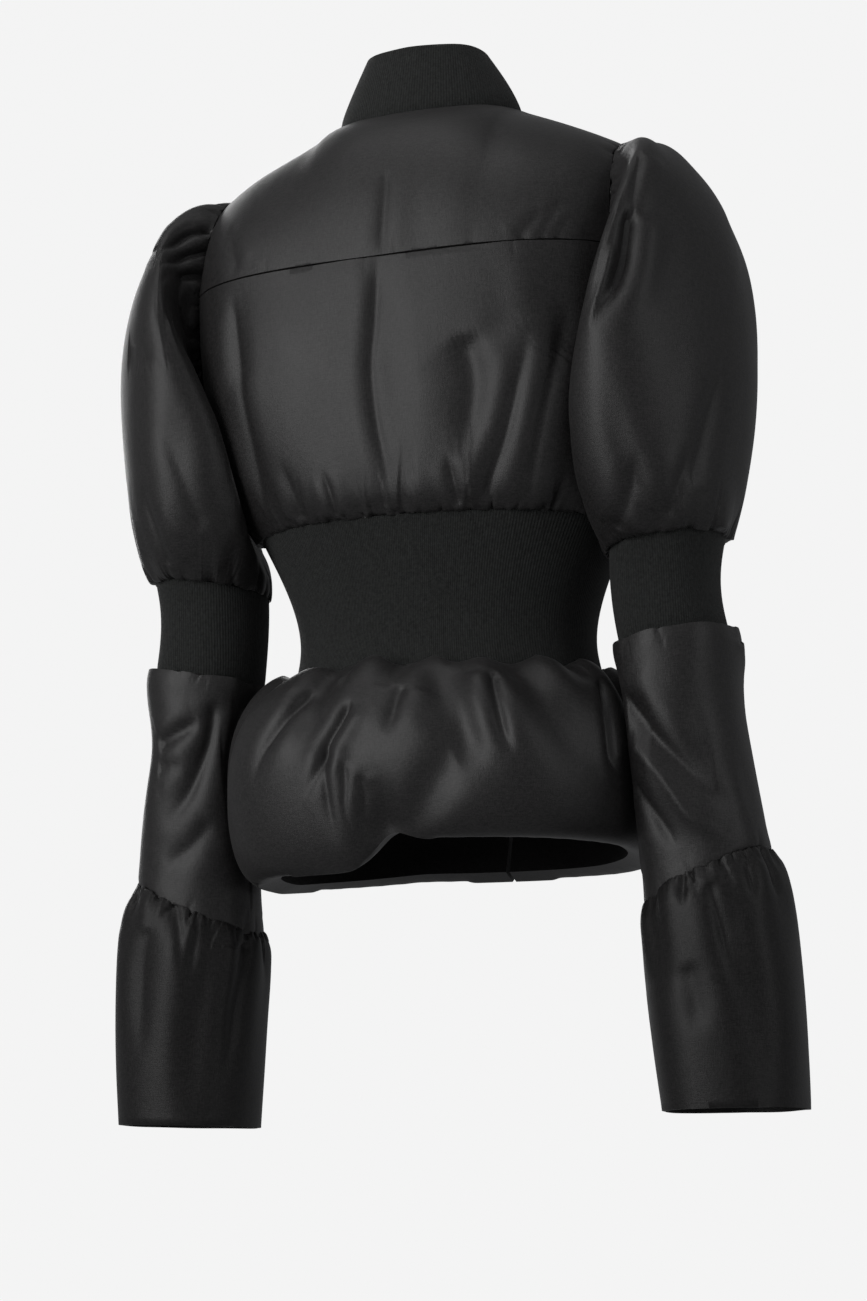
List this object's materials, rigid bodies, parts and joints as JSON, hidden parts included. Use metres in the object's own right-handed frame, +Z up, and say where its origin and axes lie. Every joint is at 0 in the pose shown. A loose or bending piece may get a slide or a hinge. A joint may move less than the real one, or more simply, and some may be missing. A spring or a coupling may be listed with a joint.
{
  "type": "padded peplum jacket",
  "caption": "Short padded satin jacket in its worn shape, with puffed upper sleeves, rib collar, rib corset waistband and elbow bands, a gathered peplum and flared cuffs.",
  "frame": {"origin": "middle of the neck opening, level with the base of the wearer's neck", "axes": "+Z up, the jacket's front faces -Y, and the wearer's left arm is at +X"},
  "size_m": [0.5498, 0.3053, 0.832],
  "materials": {
    "satin": "padded black satin with a soft sheen",
    "rib_knit": "matt black rib knit",
    "zip_metal": "dark brushed metal"
  },
  "bodies": {
    "jacket": {"back_panel": "satin", "back_yoke": "satin", "front_left": "satin", "front_right": "satin", "peplum": "satin", "upper_sleeve_left": "satin", "upper_sleeve_right": "satin", "lower_sleeve_left": "satin", "lower_sleeve_right": "satin", "cuff_left": "satin", "cuff_right": "satin", "collar": "rib_knit", "waistband": "rib_knit", "elbow_band_left": "rib_knit", "elbow_band_right": "rib_knit", "zip_chain": "zip_metal", "zip_slider": "zip_metal"},
    "zip_pull": {"zip_pull": "zip_metal"}
  },
  "joints": [
    {"name": "zip_pull_hinge", "type": "hinge", "parent": "jacket", "child": "zip_pull", "pos_m": [0.00029, -0.07699, -0.00852], "axis": [-1, 0, 0], "range_deg": [0, 150]}
  ]
}
